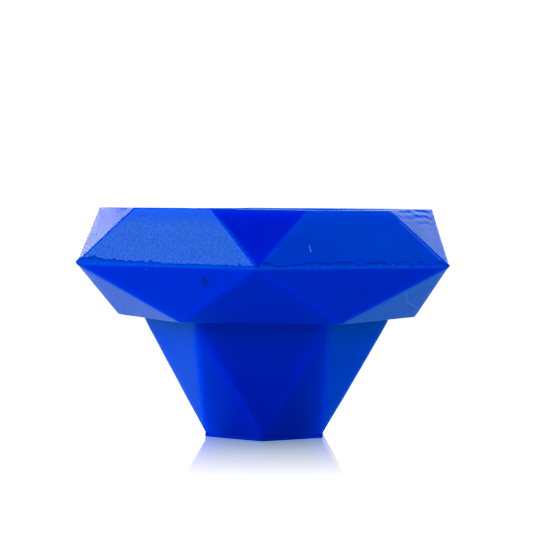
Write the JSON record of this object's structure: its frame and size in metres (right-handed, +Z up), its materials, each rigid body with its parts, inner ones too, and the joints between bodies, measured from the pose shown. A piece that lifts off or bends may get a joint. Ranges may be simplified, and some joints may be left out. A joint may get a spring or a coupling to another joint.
{
  "type": "cue chalk cube holder",
  "caption": "Gem-shaped silicone holder on a tapered foot, with a cube of cue chalk that lifts out of a square pocket in its flat top.",
  "frame": {"origin": "centre of the underside of the sole, on the surface that the holder stands on", "axes": "+Z up, along the chalk cube's way out; -Y to a corner of the widest hexagon, +X to the middle of one of its sides"},
  "size_m": [0.06, 0.0692, 0.038],
  "materials": {
    "holder_silicone": "satin moulded silicone with soft edges and a faint haze",
    "seam_adhesive": "cured silicone adhesive, slightly glossy",
    "sole_silicone": "matte moulded silicone",
    "cup_steel": "zinc plated pressing",
    "magnet_nickel": "nickel plated",
    "chalk": "dry pressed powder",
    "label_paper": "matte wrap"
  },
  "bodies": {
    "holder": {"crown_shell": "holder_silicone", "base_shell": "holder_silicone", "seam_ring": "seam_adhesive", "sole_pad": "sole_silicone", "magnet_cup": "cup_steel", "magnet_disc": "magnet_nickel"},
    "chalk": {"chalk_block": "chalk", "chalk_label": "label_paper"}
  },
  "joints": [
    {"name": "chalk_lift", "type": "slide", "parent": "holder", "child": "chalk", "axis": [0, 0, 1], "range_m": [0, 0.024]}
  ]
}
